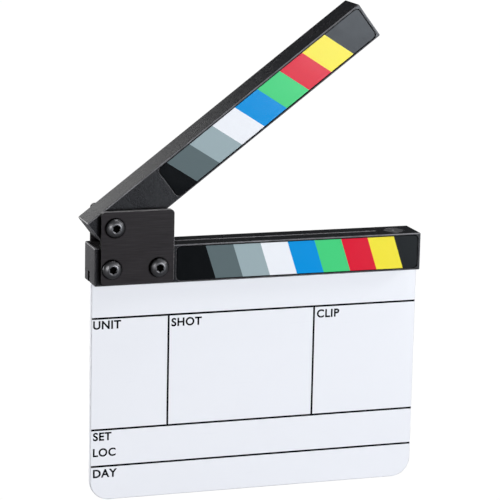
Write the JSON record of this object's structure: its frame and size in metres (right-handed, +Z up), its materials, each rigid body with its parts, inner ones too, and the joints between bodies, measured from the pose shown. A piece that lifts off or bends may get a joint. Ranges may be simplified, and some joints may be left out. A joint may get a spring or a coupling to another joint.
{
  "type": "clapperboard",
  "caption": "Film clapperboard: a white writing board held in a slotted bar, with a colour-striped clap stick hinged between two plates.",
  "frame": {"origin": "middle of the writing board's lower edge, at half its thickness", "axes": "+Z up, +X towards the tip of the clap stick, -Y the writing side"},
  "size_m": [0.1704, 0.0327, 0.2392],
  "materials": {
    "board_acrylic": "satin",
    "bar_plastic": "matte",
    "plate_steel": "satin",
    "screw_steel": "satin",
    "nut_steel": "satin",
    "nylon": "matte",
    "magnet_plating": "satin",
    "label_vinyl": "satin"
  },
  "bodies": {
    "slate": {"writing_board": "board_acrylic", "lower_bar": "bar_plastic", "front_hinge_plate": "plate_steel", "rear_hinge_plate": "plate_steel", "pivot_screw": "screw_steel", "left_plate_screw": "screw_steel", "right_plate_screw": "screw_steel", "pivot_nut": "nut_steel", "left_plate_nut": "nut_steel", "right_plate_nut": "nut_steel", "pivot_nut_insert": "nylon", "left_nut_insert": "nylon", "right_nut_insert": "nylon", "pivot_sleeve": "nut_steel", "lower_magnet": "magnet_plating", "lower_colour_label": "label_vinyl"},
    "stick": {"clap_stick": "bar_plastic", "front_friction_washer": "nylon", "rear_friction_washer": "nylon", "upper_magnet": "magnet_plating", "upper_colour_label": "label_vinyl"}
  },
  "joints": [
    {"name": "stick_hinge", "type": "hinge", "parent": "slate", "child": "stick", "pos_m": [-0.0749, -0.0015, 0.1366], "axis": [0, -1, 0], "range_deg": [-37.3, 57.2]}
  ]
}
